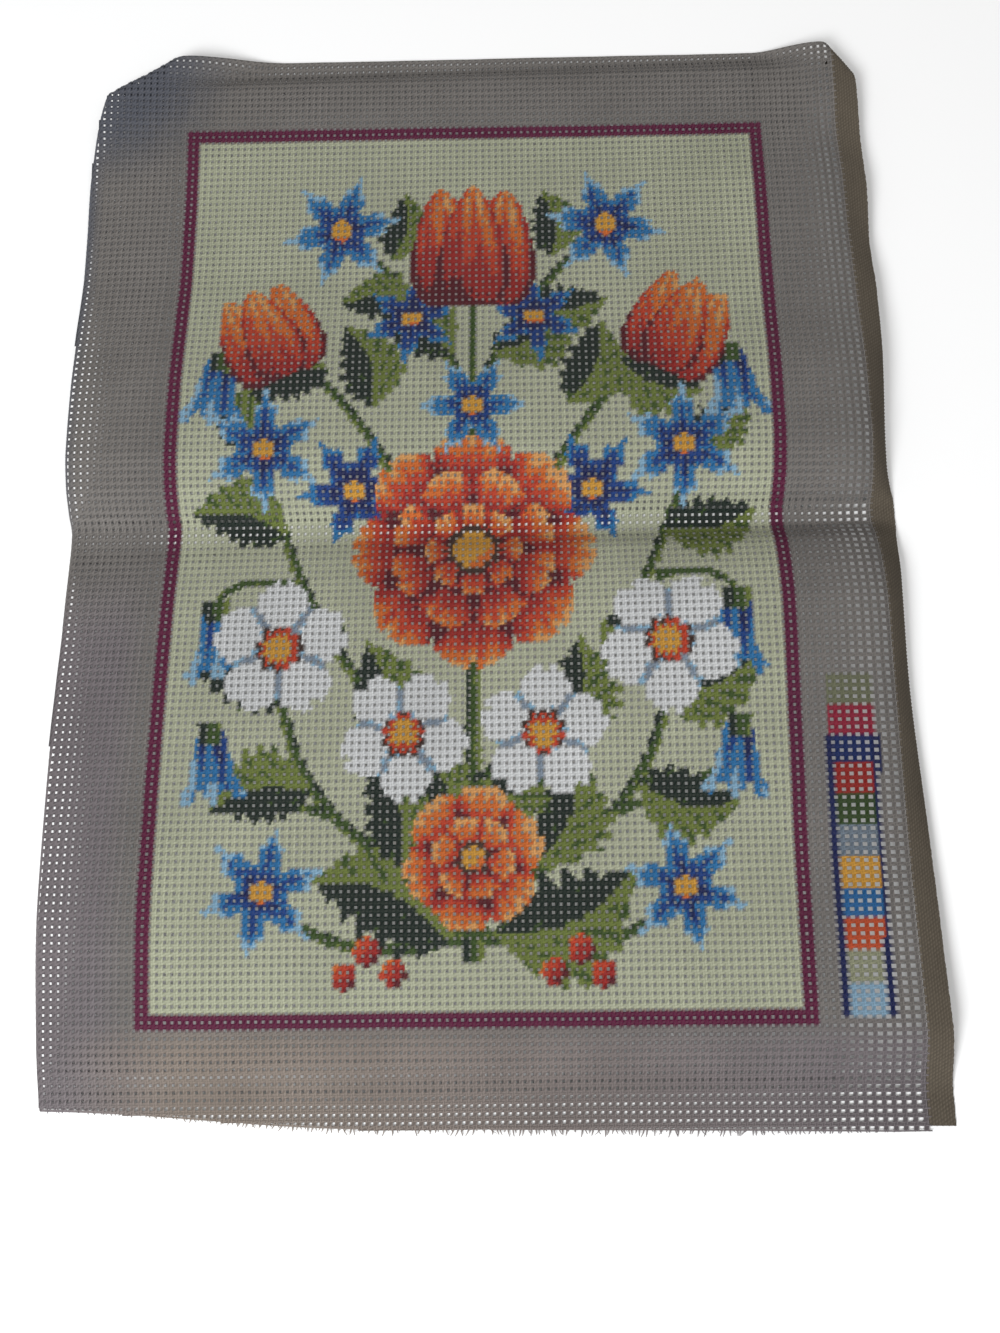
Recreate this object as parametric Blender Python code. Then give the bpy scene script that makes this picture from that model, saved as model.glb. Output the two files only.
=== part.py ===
"""Needlepoint canvas panel: one cut piece of stiff double-thread canvas, lying face up.

The cloth was kept folded in half, so it lies in a sharp valley across its middle, with a
low hump on each side. Its bottom and top cut edges come down to the table, its top
corners are turned under, and its woven right edge droops.

Metres, +Z up. +X runs across the cloth to the woven edge, and +Y up the cloth to its top
edge. The origin is at the middle of the cloth's box, on the table.
"""

import math
from bisect import bisect_right
from collections import namedtuple

import bmesh
import bpy
from mathutils import Vector

CLOTH_WIDTH = 0.2995
CLOTH_LENGTH = 0.4065
THICKNESS = 0.001

LEAN = 0.0175  # the side edges lean to the left by this much for each metre up
BOTTOM_CUT_SLANT = 0.0120  # the bottom cut edge climbs to the left by this much a metre
BOTTOM_CUT_RISE = 0.0050  # and rises by this much more towards its left corner
BOTTOM_CUT_RISE_WIDTH = 0.110
BOTTOM_CUT_FADE = 6  # how fast the threads straighten up the cloth, as a power
BOTTOM_LEFT_RADIUS = 0.005
TOP_LEFT_CUT_IN = 0.0120  # the left cut edge curves in by this much at the top
TOP_LEFT_CUT_IN_LENGTH = 0.070
TOP_LEFT_CUT_IN_FADE = 3  # and the threads straighten to the right as this power

CREASE_FROM_BOTTOM = 0.2080
CREASE_SLANT = 0.020  # how far the half fold climbs for each metre to the right
VALLEY_HALF_WIDTH = 0.0012  # its bottom is a flat strip
PRESSED = 0.0003  # what comes this near the table lies flat on it

# The section along the cloth: how far up from the crease, and the height of the underside
# on the left and on the right side of the printed area.
Station = namedtuple("Station", "from_crease left right")
STATIONS = (
    Station(-0.2125, 0.0000, 0.0000),
    Station(-0.2025, 0.0000, 0.0000),  # the bottom edge lies on the table
    Station(-0.1770, 0.0052, 0.0066),
    Station(-0.1300, 0.0108, 0.0062),  # the lower hump, far down on the left
    Station(-0.0890, 0.0092, 0.0080),
    Station(-0.0600, 0.0068, 0.0094),
    Station(-0.0360, 0.0044, 0.0104),  # and close under the crease on the right
    Station(-0.0240, 0.0030, 0.0088),
    Station(-0.0120, 0.0012, 0.0050),
    Station(-VALLEY_HALF_WIDTH, 0.0000, 0.0000),
    Station(VALLEY_HALF_WIDTH, 0.0000, 0.0000),  # the valley of the half fold
    Station(0.0100, 0.0042, 0.0050),
    Station(0.0200, 0.0080, 0.0096),
    Station(0.0330, 0.0098, 0.0118),  # the upper hump
    Station(0.0550, 0.0090, 0.0114),
    Station(0.0820, 0.0056, 0.0082),
    Station(0.1090, 0.0024, 0.0066),
    Station(0.1350, 0.0020, 0.0052),
    Station(0.1640, 0.0030, 0.0024),
    Station(0.1780, 0.0040, 0.0030),
    Station(0.1860, 0.0036, 0.0028),
    Station(0.1950, 0.0000, 0.0000),  # the top edge lies on the table
    Station(0.2045, 0.0000, 0.0000),
)

# How far each side droops towards the table beside its own section, as a share of the
# height there.
Droop = namedtuple("Droop", "from_crease left right")
DROOPS = (
    Droop(-0.2080, 0.00, 0.00),
    Droop(-0.1500, 0.05, 0.30),
    Droop(-0.0700, 0.10, 0.75),
    Droop(-0.0250, 0.20, 0.60),
    Droop(0.0000, 0.20, 0.90),
    Droop(0.0300, 0.10, 0.65),
    Droop(0.0900, 0.15, 0.30),
    Droop(0.1300, 0.45, 0.95),
    Droop(0.1985, 0.80, 0.95),
)
LEFT_DROOP_WIDTH = 0.024
RIGHT_DROOP_WIDTH = 0.015
STEEPEST_DROOP = math.radians(75)
LEVEL = 1e-4  # a droop below this angle is no droop

# The top corners are turned under along slanting lines, which meet the side edge this far
# down and the top edge this far across.
Corner = namedtuple("Corner", "side down across")
CORNERS = (
    Corner(-1, 0.0230, 0.0360),
    Corner(1, 0.0180, 0.0120),
)
CORNER_HEIGHT = 0.0052  # underside of the cloth along the line
CORNER_BLEND = 0.022  # how far from the line the cloth has come to this height

# The flat grid: wide steps, and finer ones in bands beside the edges and the crease.
COLUMN_STEP = 0.0092
ROW_STEP = 0.0080
FINE_STEP = 0.0040
LEFT_BAND = 0.0120
RIGHT_BAND = 0.0160
BOTTOM_BAND = 0.0055
TOP_BAND = 0.0220
TOP_STEP = 0.0030
BAND_BELOW_CREASE = 0.0140
BAND_ABOVE_CREASE = 0.0200
SLANTED_ROWS = 0.040  # this near the crease, the grid's rows slant with it
CORNER_CUTS = 7  # steps round each turned corner's bend
ON_CUT = 0.0002  # a point this near a cut is on it
RUN_STEP = 0.0005  # step of the sum that finds how far the cloth reaches

CANVAS_COLOUR = (0.30, 0.25, 0.21, 1.0)
CANVAS_ROUGHNESS = 0.92

LEFT = -CLOTH_WIDTH / 2
RIGHT = CLOTH_WIDTH / 2
BOTTOM = -CREASE_FROM_BOTTOM
TOP = CLOTH_LENGTH - CREASE_FROM_BOTTOM


def smooth_column(table, column):
    """Returns a function that reads a table's column as one smooth curve with no overshoot."""
    xs = [row.from_crease for row in table]
    ys = [getattr(row, column) for row in table]
    rises = [(b - a) / (d - c) for a, b, c, d in zip(ys, ys[1:], xs, xs[1:])]
    slopes = [0.0]
    for before, after in zip(rises, rises[1:]):
        slopes.append(2 * before * after / (before + after) if before * after > 0 else 0.0)
    slopes.append(0.0)

    def read(x):
        i = min(max(bisect_right(xs, x) - 1, 0), len(xs) - 2)
        gap = xs[i + 1] - xs[i]
        t = min(max((x - xs[i]) / gap, 0.0), 1.0)
        near = (1 - t) * (1 - t) * ((1 + 2 * t) * ys[i] + t * gap * slopes[i])
        far = t * t * ((3 - 2 * t) * ys[i + 1] - (1 - t) * gap * slopes[i + 1])
        return near + far

    return read


def run_along(height_at):
    """Returns how far up the table the cloth has come at each distance along it."""
    first = STATIONS[0].from_crease
    reached = [0.0]
    count = round((STATIONS[-1].from_crease - first) / RUN_STEP)
    for i in range(count):
        rise = height_at(first + (i + 1) * RUN_STEP) - height_at(first + i * RUN_STEP)
        reached.append(reached[-1] + math.sqrt(RUN_STEP * RUN_STEP - rise * rise))
    at_crease = round(-first / RUN_STEP)

    def read(x):
        place = min(max((x - first) / RUN_STEP, 0.0), count)
        i = min(int(place), count - 1)
        run = reached[i] + (reached[i + 1] - reached[i]) * (place - i)
        return run - reached[at_crease]

    return read


left_height = smooth_column(STATIONS, "left")
right_height = smooth_column(STATIONS, "right")
left_run = run_along(left_height)
right_run = run_along(right_height)
left_droop = smooth_column(DROOPS, "left")
right_droop = smooth_column(DROOPS, "right")


def ease(t):
    t = min(max(t, 0.0), 1.0)
    return t * t * (3 - 2 * t)


def bend_down(length, width, drop):
    """A strip that bends evenly so that its edge drops by this much: its reach and its drop."""
    steepest = min(2 * drop / width, STEEPEST_DROOP)
    if steepest < LEVEL or length <= 0:
        return max(length, 0.0), 0.0
    angle = steepest * length / width
    radius = width / steepest
    return radius * math.sin(angle), radius * (1 - math.cos(angle))


def fold_line(corner):
    """A point of a corner's fold line, its direction and the way out to the corner."""
    start = Vector((corner.side * RIGHT - LEAN * TOP, TOP - corner.down))
    end = Vector((corner.side * (RIGHT - corner.across) - LEAN * TOP, TOP))
    along = (end - start).normalized()
    return start, along, Vector((-along.y, along.x)) * -corner.side


def beyond_fold(corner, across, up):
    """How far a point of the flat cloth is past a corner's fold line."""
    start, along, outward = fold_line(corner)
    return (Vector((across, up)) - start).dot(outward)


def surface(across, up):
    """Where the middle of the cloth lies, for a point of the flat cloth."""
    from_crease = up - CREASE_SLANT * across
    share = ease((across - LEFT) / CLOTH_WIDTH)
    height = left_height(from_crease) * (1 - share) + right_height(from_crease) * share
    run = left_run(from_crease) * (1 - share) + right_run(from_crease) * share
    clear_of_corners = 1.0
    for corner in CORNERS:
        near = 1 + beyond_fold(corner, across, up) / CORNER_BLEND
        height += (CORNER_HEIGHT - height) * ease(near)
        clear_of_corners *= 1 - ease(1 + near)
    x = across
    past_right = across + LEAN * up - RIGHT + RIGHT_DROOP_WIDTH
    if past_right > 0:
        full_drop = height * right_droop(from_crease) * clear_of_corners
        reach, drop = bend_down(past_right, RIGHT_DROOP_WIDTH, full_drop)
        x += reach - past_right
        height -= drop
    past_left = LEFT + LEFT_DROOP_WIDTH - across - LEAN * up
    if past_left > 0:
        full_drop = height * left_droop(from_crease) * clear_of_corners
        reach, drop = bend_down(past_left, LEFT_DROOP_WIDTH, full_drop)
        x += past_left - reach
        height -= drop
    return Vector((x, CREASE_SLANT * across + run, height + THICKNESS / 2))


def lay(across, up):
    """The surface with its top corners turned under."""
    for corner in CORNERS:
        beyond = beyond_fold(corner, across, up)
        if beyond > 0:
            start, along, outward = fold_line(corner)
            foot = start + along * (Vector((across, up)) - start).dot(along)
            place = surface(foot.x, foot.y)
            radius = (place.z - THICKNESS / 2) / 2
            angle = min(beyond / radius, math.pi)
            out = radius * math.sin(angle) - max(beyond - math.pi * radius, 0.0)
            place += Vector((outward.x, outward.y, 0.0)) * out
            place.z -= radius * (1 - math.cos(angle))
            return place
    return surface(across, up)


def steps_between(start, end, step):
    count = max(round((end - start) / step), 1)
    return [start + (end - start) * i / count for i in range(count)]


def grid_places():
    """The flat grid's columns and rows, finer at the sides, the crease and the cut edges."""
    columns = steps_between(LEFT, LEFT + LEFT_BAND, 1.5 * FINE_STEP)
    columns += steps_between(LEFT + LEFT_BAND, RIGHT - RIGHT_BAND, COLUMN_STEP)
    columns += steps_between(RIGHT - RIGHT_BAND, RIGHT, FINE_STEP) + [RIGHT]
    rows = [BOTTOM] + steps_between(BOTTOM + BOTTOM_BAND, -BAND_BELOW_CREASE, ROW_STEP)
    rows += steps_between(-BAND_BELOW_CREASE, -VALLEY_HALF_WIDTH, FINE_STEP)
    rows += [-VALLEY_HALF_WIDTH]
    rows += steps_between(VALLEY_HALF_WIDTH, BAND_ABOVE_CREASE, FINE_STEP)
    rows += steps_between(BAND_ABOVE_CREASE, TOP - TOP_BAND, ROW_STEP)
    rows += steps_between(TOP - TOP_BAND, TOP, TOP_STEP) + [TOP]
    return columns, rows


def cut_edge(across, up):
    """Moves a point of the full rectangle to the cloth's own outline."""
    from_top = (TOP - up) / TOP_LEFT_CUT_IN_LENGTH
    far_from_right = (RIGHT - across) / CLOTH_WIDTH
    cut_in = TOP_LEFT_CUT_IN * max(1 - from_top, 0.0) ** 2
    cut_in *= far_from_right**TOP_LEFT_CUT_IN_FADE
    from_left = (across - LEFT) / BOTTOM_CUT_RISE_WIDTH
    rise = BOTTOM_CUT_RISE * ease(1 - from_left) - BOTTOM_CUT_SLANT * across
    rise *= ((TOP - up) / CLOTH_LENGTH) ** BOTTOM_CUT_FADE
    return across - LEAN * up + cut_in, up + rise


def round_bottom_left(bm):
    """Rounds the flat cloth's bottom left corner."""
    corner = min(bm.verts, key=lambda v: v.co.x + v.co.y)
    bmesh.ops.bevel(
        bm,
        geom=[corner],
        offset=BOTTOM_LEFT_RADIUS,
        offset_type="OFFSET",
        affect="VERTICES",
        segments=3,
        profile=0.5,
        material=-1,
    )


def flat_cloth():
    """The flat cloth as one grid, with extra cuts beside the corners' fold lines."""
    columns, rows = grid_places()
    bm = bmesh.new()
    bmesh.ops.create_grid(
        bm, x_segments=len(columns) - 1, y_segments=len(rows) - 1, size=0.5
    )
    for v in bm.verts:
        column = columns[round((v.co.x + 0.5) * (len(columns) - 1))]
        row = rows[round((v.co.y + 0.5) * (len(rows) - 1))]
        row += CREASE_SLANT * column * ease(1 - abs(row) / SLANTED_ROWS)
        v.co = Vector((*cut_edge(column, row), 0.0))
    round_bottom_left(bm)
    turn = math.pi * CORNER_HEIGHT / 2
    for corner in CORNERS:
        start, along, outward = fold_line(corner)
        for i in range(CORNER_CUTS + 1):
            at = start + outward * (turn * i / CORNER_CUTS)
            bmesh.ops.bisect_plane(
                bm,
                geom=bm.verts[:] + bm.edges[:] + bm.faces[:],
                dist=ON_CUT,
                plane_co=(at.x, at.y, 0.0),
                plane_no=(outward.x, outward.y, 0.0),
            )
    return bm


def canvas_material():
    material = bpy.data.materials.new("canvas")
    material.use_nodes = True
    shader = material.node_tree.nodes["Principled BSDF"]
    shader.inputs["Base Color"].default_value = CANVAS_COLOUR
    shader.inputs["Roughness"].default_value = CANVAS_ROUGHNESS
    shader.inputs["Metallic"].default_value = 0.0
    return material


def canvas_panel():
    """Lays the flat cloth in its folds and gives it its thickness."""
    bm = flat_cloth()
    for v in bm.verts:
        v.co = lay(v.co.x, v.co.y)
    bmesh.ops.recalc_face_normals(bm, faces=bm.faces[:])
    if sum(face.normal.z * face.calc_area() for face in bm.faces) < 0:
        bmesh.ops.reverse_faces(bm, faces=bm.faces[:])
    bm.normal_update()
    for v in bm.verts:
        v.co += v.normal * (THICKNESS / 2)
    bmesh.ops.solidify(bm, geom=bm.faces[:], thickness=THICKNESS)
    bmesh.ops.triangulate(bm, faces=bm.faces[:])
    for v in bm.verts:
        if v.co.z < PRESSED:
            v.co.z = 0.0
    low = [min(v.co[axis] for v in bm.verts) for axis in range(3)]
    high = [max(v.co[axis] for v in bm.verts) for axis in range(3)]
    middle = Vector(((low[0] + high[0]) / 2, (low[1] + high[1]) / 2, 0.0))
    bmesh.ops.translate(bm, verts=bm.verts[:], vec=-middle)
    mesh = bpy.data.meshes.new("canvas_panel")
    bm.to_mesh(mesh)
    bm.free()
    mesh.shade_smooth()
    mesh.materials.append(canvas_material())
    panel = bpy.data.objects.new("canvas_panel", mesh)
    bpy.context.scene.collection.objects.link(panel)
    return panel


for old in list(bpy.data.objects):
    bpy.data.objects.remove(old, do_unlink=True)
canvas_panel()
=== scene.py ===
import math
from collections import namedtuple

import bmesh
import bpy
import numpy as np
from mathutils import Euler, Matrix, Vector


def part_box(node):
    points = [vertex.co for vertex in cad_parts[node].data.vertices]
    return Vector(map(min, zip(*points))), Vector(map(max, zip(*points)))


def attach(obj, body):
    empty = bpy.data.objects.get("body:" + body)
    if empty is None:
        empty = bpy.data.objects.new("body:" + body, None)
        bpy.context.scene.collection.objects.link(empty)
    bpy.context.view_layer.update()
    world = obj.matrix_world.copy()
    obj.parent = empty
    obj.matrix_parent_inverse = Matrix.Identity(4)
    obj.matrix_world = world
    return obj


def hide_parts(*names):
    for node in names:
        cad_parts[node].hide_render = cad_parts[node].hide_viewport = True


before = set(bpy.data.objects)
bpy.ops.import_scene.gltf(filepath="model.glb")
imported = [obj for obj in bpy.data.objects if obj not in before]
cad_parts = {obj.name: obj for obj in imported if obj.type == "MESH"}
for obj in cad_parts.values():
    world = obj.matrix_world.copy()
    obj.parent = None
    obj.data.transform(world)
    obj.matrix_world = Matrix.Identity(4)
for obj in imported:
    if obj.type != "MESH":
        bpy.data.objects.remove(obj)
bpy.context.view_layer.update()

print("frame loaded")

# the cloth's own shape
# Sizes in metres. A place on the flat cloth is across (to the woven edge) and up (from the
# half fold), and the cloth lies in the same folds as its solid.

cloth = {
    "width": 0.2995,
    "length": 0.4065,
    "thickness": 0.001,
    "creaseFromBottom": 0.2080,
    "creaseSlant": 0.020,
    "lean": 0.0175,            # the side edges lean left, for each metre up
    "bottomSlant": 0.0120,     # the bottom cut climbs to the left, for each metre
    "bottomRise": 0.0050,      # and more towards its left corner
    "bottomRiseWidth": 0.110,
    "topLeftCutIn": 0.0120,
    "topLeftCutInLength": 0.070,
    "leftDroopWidth": 0.024,
    "rightDroopWidth": 0.015,
    "steepestDroop": math.radians(75),
    "cornerHeight": 0.0052,    # the turned corners bend over at this height
    "cornerBlend": 0.022,
}
left, right = -cloth["width"] / 2, cloth["width"] / 2
bottom = -cloth["creaseFromBottom"]
top = cloth["length"] + bottom

# height of the underside up the cloth, at its left and its right side
Hump = namedtuple("Hump", "fromCrease left right")
humps = [
    Hump(-0.2125, 0.0000, 0.0000),
    Hump(-0.2025, 0.0000, 0.0000),
    Hump(-0.1770, 0.0052, 0.0066),
    Hump(-0.1300, 0.0108, 0.0062),
    Hump(-0.0890, 0.0092, 0.0080),
    Hump(-0.0600, 0.0068, 0.0094),
    Hump(-0.0360, 0.0044, 0.0104),
    Hump(-0.0240, 0.0030, 0.0088),
    Hump(-0.0120, 0.0012, 0.0050),
    Hump(-0.0012, 0.0000, 0.0000),
    Hump(0.0012, 0.0000, 0.0000),
    Hump(0.0100, 0.0042, 0.0050),
    Hump(0.0200, 0.0080, 0.0096),
    Hump(0.0330, 0.0098, 0.0118),
    Hump(0.0550, 0.0090, 0.0114),
    Hump(0.0820, 0.0056, 0.0082),
    Hump(0.1090, 0.0024, 0.0066),
    Hump(0.1350, 0.0020, 0.0052),
    Hump(0.1640, 0.0030, 0.0024),
    Hump(0.1780, 0.0040, 0.0030),
    Hump(0.1860, 0.0036, 0.0028),
    Hump(0.1950, 0.0000, 0.0000),
    Hump(0.2045, 0.0000, 0.0000),
]

# how far each side edge droops, as a share of the height beside it
Droop = namedtuple("Droop", "fromCrease left right")
droops = [
    Droop(-0.2080, 0.00, 0.00),
    Droop(-0.1500, 0.05, 0.30),
    Droop(-0.0700, 0.10, 0.75),
    Droop(-0.0250, 0.20, 0.60),
    Droop(0.0000, 0.20, 0.90),
    Droop(0.0300, 0.10, 0.65),
    Droop(0.0900, 0.15, 0.30),
    Droop(0.1300, 0.45, 0.95),
    Droop(0.1985, 0.80, 0.95),
]

# a top corner is turned under along a line from `down` the side to `across` the top
Corner = namedtuple("Corner", "side down across")
corners = [Corner(-1, 0.0230, 0.0360), Corner(1, 0.0180, 0.0120)]


def smoothColumn(table, column):
    xs = np.array([row.fromCrease for row in table])
    ys = np.array([getattr(row, column) for row in table])
    rises = np.diff(ys) / np.diff(xs)
    slopes = np.zeros(len(xs))
    both = rises[:-1] * rises[1:]
    total = np.where(both > 0, rises[:-1] + rises[1:], 1.0)
    slopes[1:-1] = np.where(both > 0, 2 * both / total, 0.0)

    def read(x):
        i = np.clip(np.searchsorted(xs, x, side="right") - 1, 0, len(xs) - 2)
        gap = xs[i + 1] - xs[i]
        t = np.clip((x - xs[i]) / gap, 0, 1)
        near = (1 - t) ** 2 * ((1 + 2 * t) * ys[i] + t * gap * slopes[i])
        return near + t * t * ((3 - 2 * t) * ys[i + 1] - (1 - t) * gap * slopes[i + 1])

    return read


def runAlong(heightAt):
    places = np.linspace(humps[0].fromCrease, humps[-1].fromCrease, 900)
    rises = np.diff(heightAt(places))
    steps = np.sqrt(np.diff(places) ** 2 - rises**2)
    runs = np.concatenate(([0.0], np.cumsum(steps)))
    atCrease = np.interp(0.0, places, runs)
    return lambda x: np.interp(x, places, runs) - atCrease


leftHeight, rightHeight = smoothColumn(humps, "left"), smoothColumn(humps, "right")
leftRun, rightRun = runAlong(leftHeight), runAlong(rightHeight)
leftDroop, rightDroop = smoothColumn(droops, "left"), smoothColumn(droops, "right")


def ease(t):
    t = np.clip(t, 0, 1)
    return t * t * (3 - 2 * t)


def bendDown(length, width, drop):
    steepest = np.clip(2 * drop / width, 1e-4, cloth["steepestDroop"])
    length = np.maximum(length, 0)
    angle = steepest * length / width
    radius = width / steepest
    return radius * np.sin(angle), radius * (1 - np.cos(angle))


def foldLine(corner):
    shift = -cloth["lean"] * top
    start = np.array([corner.side * right + shift, top - corner.down])
    end = np.array([corner.side * (right - corner.across) + shift, top])
    along = (end - start) / np.linalg.norm(end - start)
    return start, along, np.array([-along[1], along[0]]) * -corner.side


def beyondFold(corner, across, up):
    start, along, outward = foldLine(corner)
    return (across - start[0]) * outward[0] + (up - start[1]) * outward[1]


def surface(across, up):
    fromCrease = up - cloth["creaseSlant"] * across
    share = ease((across - left) / cloth["width"])
    height = leftHeight(fromCrease) * (1 - share) + rightHeight(fromCrease) * share
    run = leftRun(fromCrease) * (1 - share) + rightRun(fromCrease) * share
    clear = 1.0
    for corner in corners:
        near = 1 + beyondFold(corner, across, up) / cloth["cornerBlend"]
        height = height + (cloth["cornerHeight"] - height) * ease(near)
        clear = clear * (1 - ease(1 + near))
    leanedBack = across + cloth["lean"] * up
    pastRight = leanedBack - right + cloth["rightDroopWidth"]
    fall = height * rightDroop(fromCrease) * clear
    reach, drop = bendDown(pastRight, cloth["rightDroopWidth"], fall)
    x = across + np.where(pastRight > 0, reach - pastRight, 0)
    lower = drop
    pastLeft = left + cloth["leftDroopWidth"] - leanedBack
    fall = height * leftDroop(fromCrease) * clear
    reach, drop = bendDown(pastLeft, cloth["leftDroopWidth"], fall)
    x = x + np.where(pastLeft > 0, pastLeft - reach, 0)
    z = height - lower - drop + cloth["thickness"] / 2
    return np.stack([x, cloth["creaseSlant"] * across + run, z], axis=-1)


def lay(across, up):
    points = surface(across, up)
    for corner in corners:
        beyond = beyondFold(corner, across, up)
        turned = beyond > 0
        if not turned.any():
            continue
        start, along, outward = foldLine(corner)
        a, u, past = across[turned], up[turned], beyond[turned]
        onLine = (a - start[0]) * along[0] + (u - start[1]) * along[1]
        feet = surface(start[0] + along[0] * onLine, start[1] + along[1] * onLine)
        radius = (feet[:, 2] - cloth["thickness"] / 2) / 2
        angle = np.minimum(past / radius, math.pi)
        out = radius * np.sin(angle) - np.maximum(past - math.pi * radius, 0)
        feet[:, 0] += outward[0] * out
        feet[:, 1] += outward[1] * out
        feet[:, 2] -= radius * (1 - np.cos(angle))
        points[turned] = feet
    return points


def cutEdge(across, up):
    # moves a place on the full rectangle to the cloth's own cut outline
    fromTop = (top - up) / cloth["topLeftCutInLength"]
    farFromRight = (right - across) / cloth["width"]
    cutIn = cloth["topLeftCutIn"] * np.maximum(1 - fromTop, 0) ** 2 * farFromRight**3
    rise = cloth["bottomRise"] * ease(1 - (across - left) / cloth["bottomRiseWidth"])
    rise = (rise - cloth["bottomSlant"] * across) * ((top - up) / cloth["length"]) ** 6
    return across - cloth["lean"] * up + cutIn, up + rise


def leftEdgeAt(up):
    return cutEdge(np.full_like(up, left), up)[0]


def bottomEdgeAt(across):
    bare = np.clip(across + cloth["lean"] * bottom, left, right)
    return cutEdge(bare, np.full_like(bare, bottom))[1]


def middleOfBox():
    across, up = np.meshgrid(np.linspace(left, right, 160), np.linspace(bottom, top, 220))
    points = lay(*cutEdge(across.ravel(), up.ravel()))
    return (points.min(axis=0) + points.max(axis=0)) / 2


cadLow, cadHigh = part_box("canvas_panel")
shift = np.array((cadLow + cadHigh) / 2) - middleOfBox()
shift[2] = 0


def place(across, up, lift):
    # the laid place of a point that stands `lift` above the middle of the cloth
    step = 0.0004
    acrossWay = lay(across + step, up) - lay(across - step, up)
    upWay = lay(across, up + step) - lay(across, up - step)
    normal = np.cross(acrossWay, upWay)
    normal /= np.maximum(np.linalg.norm(normal, axis=1, keepdims=True), 1e-12)
    return lay(across, up) + shift + normal * lift[:, None]


# the weave
# Threads run in pairs both ways. A stitch is one pair by one pair.

weave = {
    "stitchAcross": 0.00252,
    "stitchUp": 0.002616,
    "framedAcross": 89,        # stitches inside and under the printed border
    "framedUp": 130,
    "frameLeft": -0.11445,
    "frameBottom": -0.1747,
    "pairsLeft": 16,           # pairs in the left margin
    "pairsRight": 12,          # pairs between the border and the dense woven edge
    "pairsBelow": 14,
    "pairsAbove": 13,
    "pairGap": 0.00070,        # from one thread of a pair to the other
    "widerBelow": 0.00022,     # pairs open up this much at the loose bottom rows
    "widerRight": 0.00026,     # and beside the woven edge
    "warpWidth": 0.00059,
    "weftWidth": 0.00061,
    "fatterLeft": 0.26,        # threads swell in the left margin
    "fatterAbove": 0.22,       # and in the top one
    "finerBelow": 0.12,        # and thin out in the loose rows
    "finerRight": 0.12,
    "fatterRight": 0.24,       # the upper right margin is closely woven
    "swing": 0.00017,          # how far a thread's middle passes over and under
    "round": 0.00022,          # its crown over its own edges
    "wander": 0.00007,         # hand of the cloth: how far threads stray from straight
    "endStep": 0.0012,         # a thread runs on this far past its last crossing
    "cutSlack": 0.0016,        # points this far past the cut are pulled back to it
    "toneSpread": 0.035,       # how much threads differ in tone
    "backFade": 0.45,          # the dye wears off where a thread passes under
    "backPale": 1.15,
    "groundShade": 0.62,        # painted shade: the sizing between the threads is coloured darker for the shade it lies in
    "edgeWidth": 0.0080,       # the dense woven edge
    "groundEdge": 0.00044,     # the sizing reaches this far past the threads' middles
    "groundThins": 3.0,        # and draws back faster than the threads thin out
}
frameRight = weave["frameLeft"] + weave["framedAcross"] * weave["stitchAcross"]


def wander(count, places, seed):
    # slow waves that differ from thread to thread, with neighbours partly alike
    rng = np.random.default_rng(seed)
    waves = np.zeros((count, len(places)))
    for length, share in ((0.110, 1.0), (0.043, 0.7), (0.017, 0.45)):
        drift = np.cumsum(rng.normal(0, 0.5, count))
        phase = drift[:, None] + 2 * math.pi * places[None, :] / length
        waves += share * np.sin(phase) * rng.uniform(0.4, 1.0, count)[:, None]
    return waves * weave["wander"]


def crossings():
    # across and up of every place where a warp thread meets a weft thread
    pairsAcross = np.arange(-weave["pairsLeft"], weave["framedAcross"] + weave["pairsRight"])
    pairsUp = np.arange(-weave["pairsBelow"], weave["framedUp"] + weave["pairsAbove"])
    sideAcross = np.tile([-0.5, 0.5], len(pairsAcross))
    sideUp = np.tile([-0.5, 0.5], len(pairsUp))
    stitchX = np.repeat(pairsAcross, 2) + 0.5
    stitchY = np.repeat(pairsUp, 2) + 0.5
    up = weave["frameBottom"] + stitchY * weave["stitchUp"]
    loose = ease(1 - (up - bottom) / 0.030)
    up = up + sideUp * (weave["pairGap"] + weave["widerBelow"] * loose)
    inMargin = np.clip((stitchX - weave["framedAcross"]) / weave["pairsRight"], 0, 1)
    margin = right - weave["edgeWidth"] - cloth["lean"] * up - frameRight
    fan = inMargin[:, None] ** 1.12 * margin[None, :]
    across = np.where(
        inMargin[:, None] > 0,
        frameRight + fan,
        weave["frameLeft"] + (stitchX * weave["stitchAcross"])[:, None],
    )
    gap = weave["pairGap"] + weave["widerRight"] * ease(inMargin * 1.5 - 0.4)[:, None]
    gap = gap + weave["widerBelow"] * loose[None, :]
    across = across + sideAcross[:, None] * gap
    across = across + wander(len(stitchX), up, 3)
    up = up[None, :] + wander(len(stitchY), across[:, 0], 5).T
    return across, up


warpAcross, weftUp = crossings()
warpCount, weftCount = warpAcross.shape
print("weave:", warpCount, "by", weftCount, "threads")

# the print
# Everything printed is worked out in stitches from the border's lower left corner.


printDepth = 0.52  # the dyes soak in: every ink comes out this much darker on the cotton


def ink(red, green, blue):
    shares = np.array([red, green, blue]) / 255
    linear = np.where(shares <= 0.04045, shares / 12.92, ((shares + 0.055) / 1.055) ** 2.4)
    return linear * printDepth


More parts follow.
